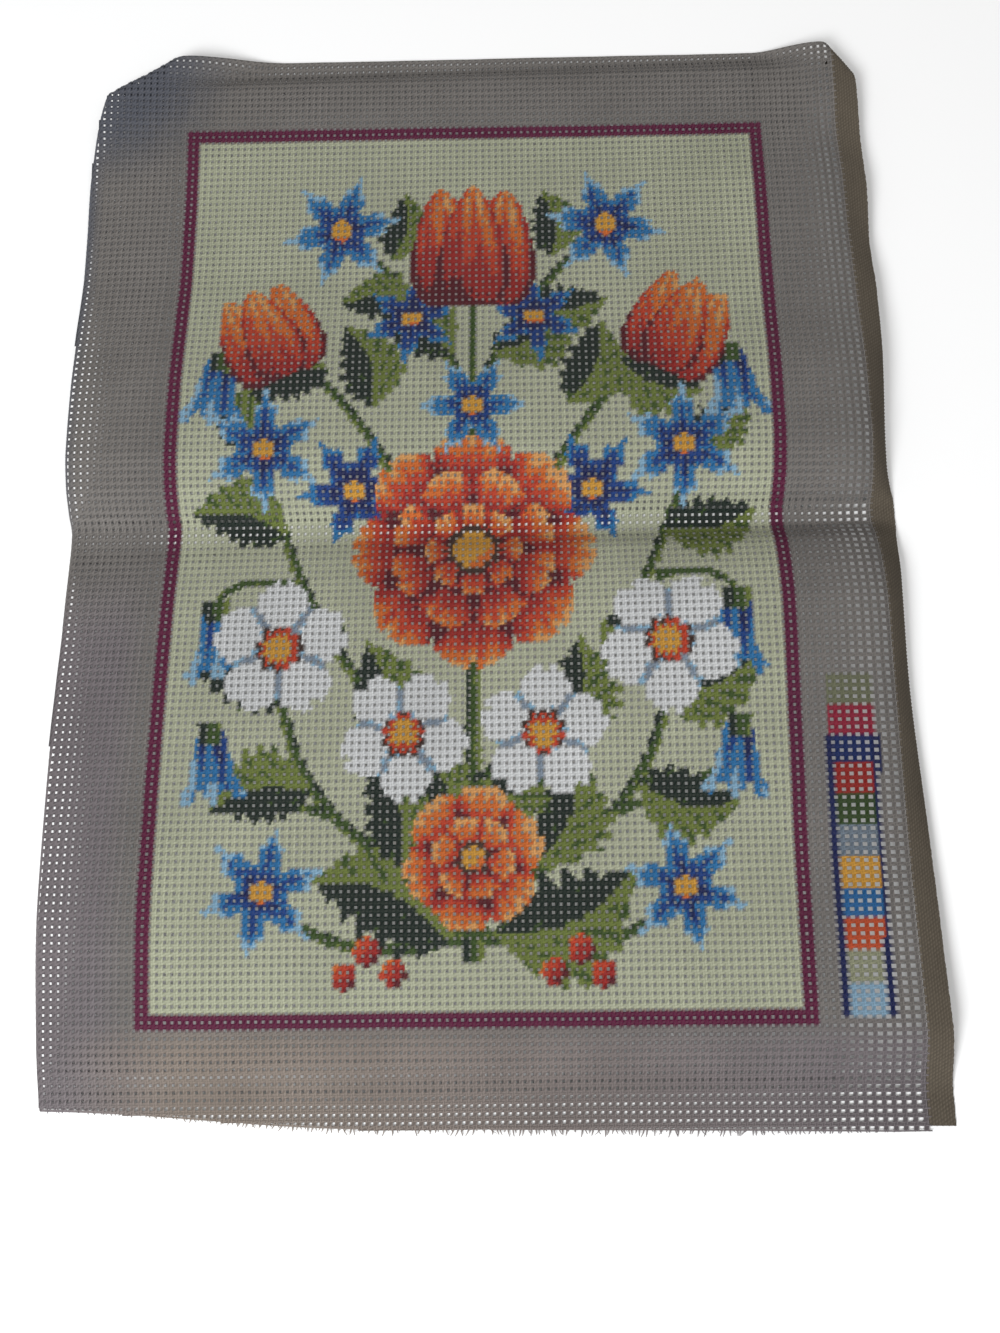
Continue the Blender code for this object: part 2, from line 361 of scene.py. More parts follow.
inks = {
    "canvas": ink(146, 141, 137),
    "canvasWarm": ink(172, 158, 146),
    "canvasLilac": ink(142, 134, 138),
    # painted shade: a slate grey for where the cloth turns away from the light
    "paintedShadeSlate": ink(104, 108, 120),
    "edge": ink(122, 112, 98),
    "ground": ink(212, 216, 186),
    "border": ink(112, 20, 70),
    "burgundy": ink(102, 16, 34),
    "brick": ink(180, 40, 34),
    "crimson": ink(172, 32, 66),
    "coral": ink(218, 72, 40),
    "orange": ink(242, 124, 48),
    "peach": ink(252, 182, 108),
    "ochre": ink(240, 176, 66),
    "brown": ink(74, 52, 44),
    "navy": ink(16, 34, 96),
    "royal": ink(14, 70, 150),
    "sky": ink(44, 132, 196),
    "pale": ink(160, 206, 236),
    "white": ink(252, 254, 255),
    "greyBlue": ink(150, 166, 184),
    "leafDark": ink(26, 46, 38),
    "leaf": ink(66, 94, 36),
    "leafLight": ink(128, 144, 66),
    "greyGreen": ink(150, 152, 120),
}


class Sheet:
    # the printed colour at every crossing, laid on motif by motif
    def __init__(self, x, y):
        self.x, self.y = x, y
        self.colour = np.empty(x.shape + (3,))
        rng = np.random.default_rng(11)
        self.grain = rng.uniform(-1, 1, x.shape)

    def fill(self, mask, name):
        self.colour[mask] = inks[name]

    def blend(self, weight, colour):
        self.colour += (colour - self.colour) * weight[..., None]

    def local(self, centreX, centreY, turn=0.0, size=1.0):
        dx, dy = self.x - centreX, self.y - centreY
        c, s = math.cos(turn), math.sin(turn)
        return (dx * c + dy * s) / size, (-dx * s + dy * c) / size

    def shade(self, mask, level, steps):
        # prints the ink of each step up to its level, dark to light
        lower = -9.0
        for upTo, name in steps:
            self.fill(mask & (level >= lower) & (level < upTo), name)
            lower = upTo


reds = [(0.20, "burgundy"), (0.46, "brick"), (0.68, "coral"), (0.90, "orange"), (9, "peach")]
warmReds = [(0.12, "burgundy"), (0.30, "brick"), (0.52, "coral"), (0.82, "orange"), (9, "peach")]
blues = [(0.26, "navy"), (0.48, "royal"), (0.86, "sky"), (9, "pale")]
deepBlues = [(0.42, "navy"), (0.74, "royal"), (9, "sky")]
whites = [(0.20, "greyBlue"), (0.34, "pale"), (9, "white")]
greens = [(0.40, "leafDark"), (0.76, "leaf"), (9, "leafLight")]


def streaks(angle, radius, count, turn):
    # fine rays, some long and some short
    slower = np.cos(angle * (count * 0.6 + 3) + radius * 0.4 + turn)
    return 0.55 * np.cos(angle * count + turn) + 0.45 * slower


def rosette(sheet, x, y, size, rings, petals, steps, turn=0.0):
    # a full round flower: rings of broad notched petals, each ring on the one outside it
    for ring in range(rings):
        reach = size * (1 - ring / (rings + 0.35))
        px, py = sheet.local(x, y, turn + ring * math.pi / petals)
        radius, angle = np.hypot(px, py), np.arctan2(py, px)
        inPetal = np.cos(angle * petals)
        edge = reach * (0.86 + 0.14 * np.sqrt((1 + inPetal) / 2))
        edge = edge - 0.05 * reach * (np.cos(angle * petals * 2) > 0.93)
        inside = radius < edge
        inner = size * (1 - (ring + 1) / (rings + 0.35)) * 0.86
        outward = np.clip((radius - inner) / (edge - inner + 1e-6), 0, 1)
        level = 0.16 + 0.86 * outward + 0.16 * streaks(angle, radius, petals * 5, ring) * outward
        level = level - 0.55 * np.clip(1 - (inPetal + 1) * 1.6, 0, 1) + 0.06 * sheet.grain
        level = level - 0.10 * ring / rings + 0.10 * np.sin(angle + 0.8)
        sheet.shade(inside, level, steps)
    heart(sheet, x, y, size * 0.17)


def heart(sheet, x, y, size):
    # a seeded flower centre with a dark ring under it
    radius = np.hypot(sheet.x - x, sheet.y - y)
    ring = radius + 0.35 * sheet.grain
    sheet.fill(ring < size * 1.35, "brown")
    sheet.fill(radius < size, "ochre")
    sheet.fill((radius < size) & ((sheet.x - x) + (y - sheet.y) > size * 0.75), "orange")


def starFlower(sheet, x, y, size, steps, petals=6, turn=0.0, heartSize=0.24):
    # pointed petals with a dark vein and a light rim
    px, py = sheet.local(x, y, turn)
    radius, angle = np.hypot(px, py), np.arctan2(py, px)
    fold = np.abs(((angle * petals / (2 * math.pi)) % 1) - 0.5) * 2
    edge = size * (0.34 + 0.66 * fold ** 0.85)
    edge = edge + 0.07 * size * np.cos(angle * petals * 4)
    inside = radius < edge
    level = 0.10 + 0.92 * radius / size + 0.17 * streaks(angle, radius, petals * 4, 0.6)
    vein = np.exp(-(((1 - fold) / 0.13) ** 2)) * (radius < size * 0.72)
    level = level - 0.28 * vein + 0.05 * sheet.grain
    level = np.where(edge - radius < 0.09 * size, level + 0.22, level)
    sheet.shade(inside, level, steps)
    centre = np.hypot(sheet.x - x, sheet.y - y)
    sheet.fill(centre < size * heartSize * 0.78, "ochre")
    sheet.fill((centre < size * heartSize * 0.78) & (sheet.y - y < -size * 0.09), "orange")


def blossom(sheet, x, y, size, turn=0.0):
    # a wild rose: five broad white petals, notched, shaded grey blue towards the heart
    px, py = sheet.local(x, y, turn)
    radius, angle = np.hypot(px, py), np.arctan2(py, px)
    inPetal = np.cos(angle * 5)
    edge = size * (0.70 + 0.30 * np.sqrt(np.clip((1 + inPetal) / 2, 0, 1)))
    edge = edge - 0.10 * size * (inPetal > 0.955)
    inside = radius < edge
    level = 0.05 + 1.1 * radius / size + 0.16 * streaks(angle, radius, 24, 1.1)
    level = level - 0.62 * np.clip(1 - (inPetal + 1) * 3.2, 0, 1) + 0.05 * sheet.grain
    sheet.shade(inside, level, whites)
    centre = radius + 0.04 * size * np.cos(angle * 11)
    sheet.fill(centre < size * 0.33, "brown")
    sheet.fill(centre < size * 0.28, "coral")
    sheet.fill(centre < size * 0.19, "ochre")


# the petals of a tulip: how far out the foot sits, how far it leans, its width and height
Petal = namedtuple("Petal", "foot lean wide tall")
cup = [Petal(-0.13, 0.13, 0.30, 0.98), Petal(0.13, -0.13, 0.30, 0.96), Petal(0.0, 0.0, 0.27, 1.0)]


def tulip(sheet, x, y, size, turn, steps):
    # a half open cup of three petals, its foot at x, y
    px, py = sheet.local(x, y, turn, size)
    for petal in cup:
        c, s = math.cos(petal.lean), math.sin(petal.lean)
        qx = (px - petal.foot) * c + py * s
        qy = -(px - petal.foot) * s + py * c
        up = np.clip(qy / petal.tall, 0, 1)
        half = petal.wide * np.sin(np.pi * up**0.55) ** 0.6
        inside = (np.abs(qx) < half) & (qy > -0.02) & (qy < petal.tall)
        across = qx / np.maximum(half, 0.02)
        level = 0.10 + 0.86 * up + 0.20 * np.cos(across * 9 + up * 3) * up
        level = level - 0.45 * np.exp(-(((np.abs(across) - 1) / 0.16) ** 2))
        level = level + 0.12 * across + 0.06 * sheet.grain
        sheet.shade(inside, level, steps)


def bell(sheet, x, y, size, turn):
    # a hanging bell with a turned out, toothed mouth and a green cap, its stalk at x, y
    px, py = sheet.local(x, y, turn, size)
    down = -py
    half = 0.20 + 0.20 * np.clip(down, 0, 1) + 0.26 * np.clip(down - 0.72, 0, 1) * 2
    mouth = 1.0 + 0.10 * np.cos(px * 16)
    inside = (np.abs(px) < half) & (down > 0.05) & (down < mouth)
    across = px / half
    level = 0.24 + 0.60 * down + 0.22 * np.cos(across * 7) - 0.18 * across + 0.06 * sheet.grain
    sheet.shade(inside, level, blues)
    cap = (np.abs(px) < 0.19 - 0.12 * down) & (down > -0.12) & (down < 0.24)
    sheet.shade(cap, 0.5 + px * 2, greens)


def leafShape(sheet, x, y, length, turn, wide=0.34, teeth=7):
    # a toothed leaf, its foot at x, y, one half in shade
    px, py = sheet.local(x, y, turn, length)
    px = px - 0.14 * np.sin(py * math.pi)
    up = np.clip(py, 0, 1)
    half = wide * np.sin(math.pi * up ** 0.8) ** 0.9 * (1 + 0.16 * np.cos(up * teeth * 2 * math.pi))
    inside = (np.abs(px) < half) & (py > 0) & (py < 1)
    ribs = np.cos((up * 1.0 - np.abs(px) * 1.1) * teeth * 4.4)
    level = 0.58 + 0.34 * np.sign(px) + 0.16 * ribs - 0.1 * up + 0.07 * sheet.grain
    level = np.where(np.abs(px) < 0.028, 1.0, level)
    sheet.shade(inside, level, greens)


def stem(sheet, points, width, mirror=False):
    # a stalk along a smooth curve through three points
    (ax, ay), (bx, by), (cx, cy) = points
    x = weave["framedAcross"] - sheet.x if mirror else sheet.x
    best = np.full(sheet.x.shape, 99.0)
    side = np.zeros(sheet.x.shape)
    for t in np.linspace(0, 1, 60):
        qx = (1 - t) ** 2 * ax + 2 * t * (1 - t) * bx + t * t * cx
        qy = (1 - t) ** 2 * ay + 2 * t * (1 - t) * by + t * t * cy
        away = np.hypot(x - qx, sheet.y - qy) / (1 - 0.35 * t)
        side = np.where(away < best, x - qx, side)
        best = np.minimum(best, away)
    level = 0.62 - 0.5 * side / width + 0.12 * sheet.grain
    sheet.shade(best < width, level, greens)


def berry(sheet, x, y, size):
    radius = np.hypot(sheet.x - x, sheet.y - y)
    level = 0.42 + 0.5 * ((x - sheet.x) + (sheet.y - y)) / (2 * size) + 0.05 * sheet.grain
    sheet.shade(radius < size, level, reds)


def bothSides(draw, sheet, x, *rest, **words):
    draw(sheet, x, *rest, **words)
    if "turn" in words:
        words = dict(words, turn=-words["turn"])
    draw(sheet, weave["framedAcross"] - x, *rest, **words)


def printFlowers(sheet):
    # a flowering tree, alike on both sides of its stem
    mid = weave["framedAcross"] / 2
    for points, width in (
        (((mid, 9), (mid, 40), (mid, 100)), 1.3),
        (((mid, 16), (mid - 26, 24), (mid - 27, 47)), 1.1),
        (((mid, 30), (mid - 22, 44), (mid - 30, 74)), 1.1),
        (((mid, 50), (mid - 12, 82), (mid - 27, 92)), 1.0),
        (((mid, 84), (mid - 8, 104), (mid - 20, 112)), 0.9),
        (((mid, 12), (mid - 16, 6), (mid - 28, 16)), 1.0),
        (((mid - 20, 27), (mid - 34, 30), (mid - 36, 36)), 0.8),
        (((mid - 26, 58), (mid - 36, 60), (mid - 37, 54)), 0.7),
        (((mid - 26, 88), (mid - 36, 98), (mid - 37, 90)), 0.7),
    ):
        stem(sheet, points, width)
        stem(sheet, points, width, mirror=True)
    for x, y, length, turn in (
        (mid - 3, 11, 20, 1.18), (mid - 9, 20, 15, 0.35), (mid - 22, 30, 14, 1.75),
        (mid - 25, 42, 15, 1.25), (mid - 12, 36, 14, 0.20), (mid - 27, 66, 14, 1.35),
        (mid - 18, 52, 12, 2.1), (mid - 14, 84, 14, 0.35), (mid - 21, 90, 13, 1.9),
        (mid - 3, 92, 14, 0.95), (mid - 12, 108, 11, -0.15), (mid - 2, 27, 11, 0.75),
        (mid - 31, 78, 11, 0.75), (mid - 8, 100, 12, 1.5),
    ):
        leafShape(sheet, x, y, length, turn)
        leafShape(sheet, weave["framedAcross"] - x, y, length, -turn)
    bothSides(bell, sheet, mid - 36.5, 55, 9.5, turn=0.12)
    bothSides(bell, sheet, mid - 37, 92, 9.5, turn=-0.10)
    bothSides(bell, sheet, mid - 36, 38, 9.0, turn=0.10)
    bothSides(berry, sheet, mid - 14, 9.5, 1.9)
    bothSides(berry, sheet, mid - 10.5, 6.8, 1.7)
    bothSides(berry, sheet, mid - 17, 6.4, 1.8)
    bothSides(starFlower, sheet, mid - 28, 17, 8.0, blues, turn=0.3)
    bothSides(starFlower, sheet, mid - 17, 72, 8.0, deepBlues, turn=0.1)
    bothSides(starFlower, sheet, mid - 30, 78, 8.6, blues, turn=0.5)
    bothSides(starFlower, sheet, mid - 20, 113, 8.8, blues, turn=0.2)
    bothSides(starFlower, sheet, mid - 9, 98, 7.0, deepBlues, turn=0.4)
    bothSides(blossom, sheet, mid - 27, 49, 9.8, turn=0.3)
    bothSides(blossom, sheet, mid - 9.5, 37, 9.0, turn=1.0)
    bothSides(tulip, sheet, mid - 27, 89, 16, turn=0.42, steps=warmReds)
    rosette(sheet, mid, 63, 17.5, 3, 8, reds)
    tulip(sheet, mid, 100, 20, 0.0, reds)
    rosette(sheet, mid, 21, 9.5, 2, 6, warmReds, turn=0.3)
    starFlower(sheet, mid, 84, 7.6, blues, turn=0.0)


def printSheet(x, y):
    sheet = Sheet(x, y)
    wide, tall = weave["framedAcross"], weave["framedUp"]
    sheet.fill(np.full(x.shape, True), "canvas")
    sheet.blend(ease(-x / 6) * ease((64 - y) / 16), inks["canvasLilac"])
    warm = (ease(1 - x / (wide + 14)) * ease((x + 12) / 20))[..., None]
    sheet.blend(ease(0.4 - y / 5), inks["canvasWarm"] * warm + inks["canvasLilac"] * (1 - warm))
    # painted shade: slate where the top left corner turns under, away from the light
    fromCorner = np.hypot((x + 15) / 1.2, y - (tall + 10)) + sheet.grain
    sheet.blend(ease(1.7 - fromCorner / 12), inks["paintedShadeSlate"])
    # painted shade: slate along the upper left edge, where it bends down away from the light
    sheet.blend(ease((-12.5 - x) / 3) * ease((y - 60) / 16), inks["paintedShadeSlate"])
    inFrame = (x > 0) & (x < wide) & (y > 0) & (y < tall)
    sheet.fill(inFrame, "border")
    rim = 2.2
    inside = (x > rim) & (x < wide - rim) & (y > rim) & (y < tall - rim)
    sheet.fill(inside, "ground")
    before = sheet.colour.copy()
    printFlowers(sheet)
    sheet.colour[~inside] = before[~inside]
    printKey(sheet)
    return sheet.colour


# the strip of ink samples, from its foot up: a colour and the one mixed into it
key = {
    "left": 92.4, "right": 98.6, "low": 0.8, "blockHeight": 3.95, "line": 0.95,
    "mixedIn": 0.28, "linedBlocks": 9,
    "blocks": [
        ("pale", "greyBlue"), ("greyGreen", "ground"), ("coral", "orange"), ("sky", "royal"),
        ("ochre", "ochre"), ("greyBlue", "leafDark"), ("leaf", "leafDark"), ("brick", "brick"),
        ("navy", "royal"), ("crimson", "crimson"), ("greyGreen", "leafDark"),
    ],
}


def printKey(sheet):
    low, tall = key["low"], key["blockHeight"]
    within = (sheet.x > key["left"]) & (sheet.x < key["right"])
    for number, (name, second) in enumerate(key["blocks"]):
        foot = low + number * tall
        block = within & (sheet.y > foot) & (sheet.y < foot + tall)
        sheet.colour[block] = inks[name] * (1 - key["mixedIn"]) + inks[second] * key["mixedIn"]
    lined = (sheet.y > low) & (sheet.y < low + key["linedBlocks"] * tall)
    for at in (key["left"], key["right"]):
        sheet.fill((np.abs(sheet.x - at) < key["line"] / 2) & lined, "navy")


stitchesX = (warpAcross - weave["frameLeft"]) / weave["stitchAcross"]
stitchesY = (weftUp - weave["frameBottom"]) / weave["stitchUp"]
printed = printSheet(stitchesX, stitchesY)
print("print worked out")

# threads


def gridMesh(name, across, along):
    # an array of strips: across + 1 points wide and along + 1 points long, on whole numbers
    count, wide = across
    bm = bmesh.new()
    bmesh.ops.create_grid(bm, x_segments=wide, y_segments=along, size=0.5)
    for vert in bm.verts:
        vert.co = Vector(((vert.co.x + 0.5) * wide, (vert.co.y + 0.5) * along, 0.0))
    mesh = bpy.data.meshes.new(name)
    bm.to_mesh(mesh)
    bm.free()
    piece = bpy.data.objects.new(name, mesh)
    bpy.context.scene.collection.objects.link(piece)
    if count > 1:
        array = piece.modifiers.new("threads", "ARRAY")
        array.use_relative_offset = False
        array.use_constant_offset = True
        array.constant_offset_displace = (wide + 1.0, 0.0, 0.0)
        array.count = count
        depsgraph = bpy.context.evaluated_depsgraph_get()
        whole = bpy.data.meshes.new_from_object(piece.evaluated_get(depsgraph))
        piece.modifiers.clear()
        piece.data = whole
        bpy.data.meshes.remove(mesh)
        whole.name = name
    return piece


def pointsOf(mesh):
    flat = np.empty(len(mesh.vertices) * 3, np.float32)
    mesh.vertices.foreach_get("co", flat)
    return flat.reshape(-1, 3).astype(float)


def finishMesh(piece, points, colours, bakeMap, keep, material):
    # moves the points to their places, colours them, and takes away what lies past the cut
    mesh = piece.data
    mesh.vertices.foreach_set("co", points.astype(np.float32).ravel())
    paint = mesh.color_attributes.new("print", "FLOAT_COLOR", "POINT")
    rgba = np.ones((len(points), 4), np.float32)
    rgba[:, :3] = colours
    paint.data.foreach_set("color", rgba.ravel())
    loops = np.empty(len(mesh.loops), np.int32)
    mesh.loops.foreach_get("vertex_index", loops)
    mesh.uv_layers.new(name="OFBake").data.foreach_set("uv", bakeMap[loops].astype(np.float32).ravel())
    if not keep.all():
        bm = bmesh.new()
        bm.from_mesh(mesh)
        bm.verts.ensure_lookup_table()
        spare = [bm.verts[i] for i in np.nonzero(~keep)[0]]
        bmesh.ops.delete(bm, geom=spare, context="VERTS")
        bm.to_mesh(mesh)
        bm.free()
    mesh.shade_smooth()
    mesh.materials.clear()
    mesh.materials.append(material)
    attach(piece, "root")
    return piece


def insideCut(across, up):
    # how far inside the cut outline a place is: negative outside
    fromLeft = across - leftEdgeAt(up)
    fromBottom = up - bottomEdgeAt(across)
    return np.minimum(np.minimum(fromLeft, fromBottom), top - up)


def swelling(i, j):
    # how much fuller, and how much finer, than its own width a thread is at a crossing
    x, y = stitchesX[i, j], stitchesY[i, j]
    fuller = weave["fatterLeft"] * ease(-x / 5)
    fuller = fuller + weave["fatterAbove"] * ease((y - weave["framedUp"]) / 5)
    pastFrame = x - weave["framedAcross"]
    closeRight = ease(pastFrame / 3) * ease((9.5 - pastFrame) / 3) * ease((y - 25) / 60)
    fuller = fuller + weave["fatterRight"] * closeRight
    finer = weave["finerBelow"] * ease(-y / 8 - 0.6)
    finer = finer + weave["finerRight"] * ease(pastFrame / 10)
    return fuller, finer


def makeThreads(name, first, last, alongWarp):
    # the threads first to last - 1 of one system, each a rounded ribbon over and under
    count = last - first
    rings = (weftCount if alongWarp else warpCount) + 2
    piece = gridMesh(name, (count, 2), rings - 1)
    points = pointsOf(piece.data)
    thread = np.floor_divide(np.round(points[:, 0]).astype(int), 3)
    side = np.round(points[:, 0]).astype(int) - thread * 3 - 1
    ring = np.round(points[:, 1]).astype(int) - 1
    thread += first
    limit = (weftCount if alongWarp else warpCount) - 1
    near = np.clip(ring, 0, limit)
    past = (ring - near) * weave["endStep"]
    if alongWarp:
        i, j = thread, near
        across = warpAcross[i, j]
        up = weftUp[i, j] + past
        width = weave["warpWidth"]
    else:
        i, j = near, thread
        across = warpAcross[i, j] + past
        up = weftUp[i, j]
        width = weave["weftWidth"]
    fuller, finer = swelling(i, j)
    width = width * (1 + fuller - finer)
    over = np.where((i + j) % 2 == (0 if alongWarp else 1), 1.0, -1.0)
    colours = printed[i, j].copy()
    back = inks["canvas"] * weave["backPale"]
    faded = np.where(over > 0, 0.0, weave["backFade"])[:, None]
    colours = colours * (1 - faded) + back * faded
    crown = np.where(side == 0, 1.0, 0.0)
    rng = np.random.default_rng(first + 17 * alongWarp)
    tone = rng.normal(1.0, weave["toneSpread"], last + 1)[thread]
    colours = colours * tone[:, None]
    insideBy = insideCut(across, up)
    keep = insideBy > -weave["cutSlack"]
    up = np.clip(up, bottomEdgeAt(across), top)
    across = np.maximum(across, leftEdgeAt(up))
    if alongWarp:
        across = across + side * width / 2
    else:
        up = up + side * width / 2
    lift = over * (weave["swing"] + weave["round"] * (crown - 0.5))
    places = place(across, up, lift)
    bakeAcross = (thread - first + 0.5 + side * 0.4) / count
    bakeMap = np.stack([bakeAcross, (ring + 1.5) / (rings + 1)], axis=1)
    return finishMesh(piece, places, colours, bakeMap, keep, cottonThread)


# materials


def newGroup(name, sockets):
    group = bpy.data.node_groups.new(name, "ShaderNodeTree")
    for label, inOut, kind, value in sockets:
        socket = group.interface.new_socket(label, in_out=inOut, socket_type=kind)
        if value is not None:
            socket.default_value = value
    return group


def fibreGroup():
    # the twist and the fluff of a cotton thread: a mask and a height
    group = newGroup("cotton fibre", [
        ("Scale", "INPUT", "NodeSocketFloat", 1.0),
        ("Mask", "OUTPUT", "NodeSocketFloat", None),
        ("Height", "OUTPUT", "NodeSocketFloat", None),
    ])
    nodes, links = group.nodes, group.links
    given, out = nodes.new("NodeGroupInput"), nodes.new("NodeGroupOutput")
    objectPlace = nodes.new("ShaderNodeTexCoord")
    fine = nodes.new("ShaderNodeTexNoise")
    fine.inputs["Detail"].default_value = 3.0
    fine.inputs["Roughness"].default_value = 0.6
    size = nodes.new("ShaderNodeMath")
    size.operation = "MULTIPLY"
    size.inputs[1].default_value = 2600.0
    links.new(given.outputs["Scale"], size.inputs[0])
    links.new(size.outputs[0], fine.inputs["Scale"])
    links.new(objectPlace.outputs["Object"], fine.inputs["Vector"])
    broad = nodes.new("ShaderNodeTexNoise")
    broad.inputs["Scale"].default_value = 34.0
    broad.inputs["Detail"].default_value = 4.0
    links.new(objectPlace.outputs["Object"], broad.inputs["Vector"])
    mix = nodes.new("ShaderNodeMath")
    mix.operation = "ADD"
    links.new(fine.outputs["Fac"], mix.inputs[0])
    links.new(broad.outputs["Fac"], mix.inputs[1])
    links.new(mix.outputs[0], out.inputs["Mask"])
    links.new(fine.outputs["Fac"], out.inputs["Height"])
    return group


fibre = fibreGroup()


def threadMaterial(name, finish):
    material = bpy.data.materials.new(name)
    material.use_nodes = True
    nodes, links = material.node_tree.nodes, material.node_tree.links
    shader = nodes["Principled BSDF"]
    paint = nodes.new("ShaderNodeVertexColor")
    paint.layer_name = "print"
    cotton = nodes.new("ShaderNodeGroup")
    cotton.node_tree = fibre
    cotton.inputs["Scale"].default_value = finish["fibreScale"]
    tone = nodes.new("ShaderNodeMapRange")
    tone.inputs["From Min"].default_value = 0.55
    tone.inputs["From Max"].default_value = 1.45
    tone.inputs["To Min"].default_value = finish["dark"]
    tone.inputs["To Max"].default_value = finish["light"]
    links.new(cotton.outputs["Mask"], tone.inputs["Value"])
    mix = nodes.new("ShaderNodeVectorMath")
    mix.operation = "SCALE"
    links.new(paint.outputs["Color"], mix.inputs[0])
    links.new(tone.outputs["Result"], mix.inputs["Scale"])
    links.new(mix.outputs["Vector"], shader.inputs["Base Color"])
    rough = nodes.new("ShaderNodeMapRange")
    rough.inputs["To Min"].default_value = finish["roughLow"]
    rough.inputs["To Max"].default_value = finish["roughHigh"]
    links.new(cotton.outputs["Height"], rough.inputs["Value"])
    links.new(rough.outputs["Result"], shader.inputs["Roughness"])
    bump = nodes.new("ShaderNodeBump")
    bump.inputs["Strength"].default_value = finish["bump"]
    bump.inputs["Distance"].default_value = 0.0001
    links.new(cotton.outputs["Height"], bump.inputs["Height"])
    links.new(bump.outputs["Normal"], shader.inputs["Normal"])
    shader.inputs["Sheen Weight"].default_value = finish["sheen"]
    shader.inputs["Sheen Roughness"].default_value = 0.5
    shader.inputs["Specular IOR Level"].default_value = 0.12
    return material


cottonThread = threadMaterial("printed cotton thread", {
    "fibreScale": 1.0, "dark": 0.80, "light": 1.14,
    "roughLow": 0.72, "roughHigh": 0.95, "bump": 0.5, "sheen": 0.04,
})
sizing = threadMaterial("sized ground", {
    "fibreScale": 0.6, "dark": 0.80, "light": 1.06,
    "roughLow": 0.78, "roughHigh": 0.95, "bump": 0.3, "sheen": 0.02,
})
denseThread = threadMaterial("woven edge thread", {
    "fibreScale": 1.0, "dark": 0.78, "light": 1.14,
    "roughLow": 0.78, "roughHigh": 0.96, "bump": 0.5, "sheen": 0.04,
})

# pieces

middleWarp, middleWeft = warpCount // 2, weftCount // 2
threadPieces = [
    makeThreads("warp_threads_left", 0, middleWarp, True),
    makeThreads("warp_threads_right", middleWarp, warpCount, True),
    makeThreads("weft_threads_lower", 0, middleWeft, False),
    makeThreads("weft_threads_upper", middleWeft, weftCount, False),
]
print("threads woven")


def makeGround():
    # the sizing that holds the pairs together: a thin sheet with a hole at every stitch
    pairsAcross, pairsUp = warpCount // 2, weftCount // 2
    piece = gridMesh("sized_ground", (1, 2 * pairsAcross - 1), 2 * pairsUp - 1)
    points = pointsOf(piece.data)
    i, j = np.round(points[:, 0]).astype(int), np.round(points[:, 1]).astype(int)
    across, up = warpAcross[i, j], weftUp[i, j]
    fuller, finer = swelling(i, j)
    reach = weave["groundEdge"] * (1 + fuller - weave["groundThins"] * finer)
    outwardX = np.where(i % 2 == 0, -1.0, 1.0) * reach
    outwardY = np.where(j % 2 == 0, -1.0, 1.0) * reach
    # painted shade: the sizing's print colour is darkened for the shade between the threads
    colours = printed[i, j] * weave["groundShade"]
    keep = insideCut(across, up) > -0.0004
    bm = bmesh.new()
    bm.from_mesh(piece.data)
    bm.faces.ensure_lookup_table()
    holes = []
    for face in bm.faces:
        centre = face.calc_center_median()
        if int(centre.x) % 2 == 1 and int(centre.y) % 2 == 1:
            holes.append(face)
    bmesh.ops.delete(bm, geom=holes, context="FACES_ONLY")
    bm.to_mesh(piece.data)
    bm.free()
    lift = np.zeros(len(points))
    places = place(across + outwardX, up + outwardY, lift)
    bakeMap = np.stack([(i + 0.5) / (2 * pairsAcross), (j + 0.5) / (2 * pairsUp)], axis=1)
    return finishMesh(piece, places, colours, bakeMap, keep, sizing)


ground = makeGround()
print("ground made")

# woven edge

wovenEdge = {"ribs": 9, "ridge": 0.00018, "swing": 0.00014, "overlap": 0.0006,
             "pickHighlight": 0.26, "valleyShade": 0.30, "toneSpread": 0.05}


def makeWovenEdge():
    # a dense strip: fine ribs side by side, with the wefts passing between them
    across = 2 * wovenEdge["ribs"]
    along = 2 * weftCount
    piece = gridMesh("woven_edge", (1, across), along)
    points = pointsOf(piece.data)
    i, j = np.round(points[:, 0]).astype(int), np.round(points[:, 1]).astype(int)
    share = i / across
    up = bottom + (top - bottom) * j / along
    edge = right - cloth["lean"] * up
    x = edge - (weave["edgeWidth"] + wovenEdge["overlap"]) * (1 - share)
    rng = np.random.default_rng(23)
    ridge = np.where(i % 2 == 1, 1.0, -0.35)
    pick = np.where((j + i // 2) % 2 == 0, 1.0, -1.0)
    lift = wovenEdge["ridge"] * ridge + wovenEdge["swing"] * pick * (i % 2)
    x = x + np.where(i == across, rng.uniform(-0.00012, 0.00012, len(i)), 0)
    y = np.maximum(up, bottomEdgeAt(x))
    # painted highlight where a rib rises over a weft, painted shade where it dips and in the valleys
    # between ribs
    tone = 1 + wovenEdge["pickHighlight"] * pick * (i % 2) - wovenEdge["valleyShade"] * (i % 2 == 0)
    tone = tone + rng.normal(0, wovenEdge["toneSpread"], len(i))
    colours = inks["edge"][None, :] * tone[:, None]
    places = place(x, y, lift)
    keep = up > bottomEdgeAt(x) - 0.0014
    bakeMap = np.stack([(i + 0.5) / (across + 1), (j + 0.5) / (along + 1)], axis=1)
    return finishMesh(piece, places, colours, bakeMap, keep, denseThread)


edgePiece = makeWovenEdge()
print("woven edge made")

# frayed ends

frayed = {"reach": 0.0024, "stray": 0.0007, "shortest": 0.25, "tuck": 0.0006, "thinning": 0.55}


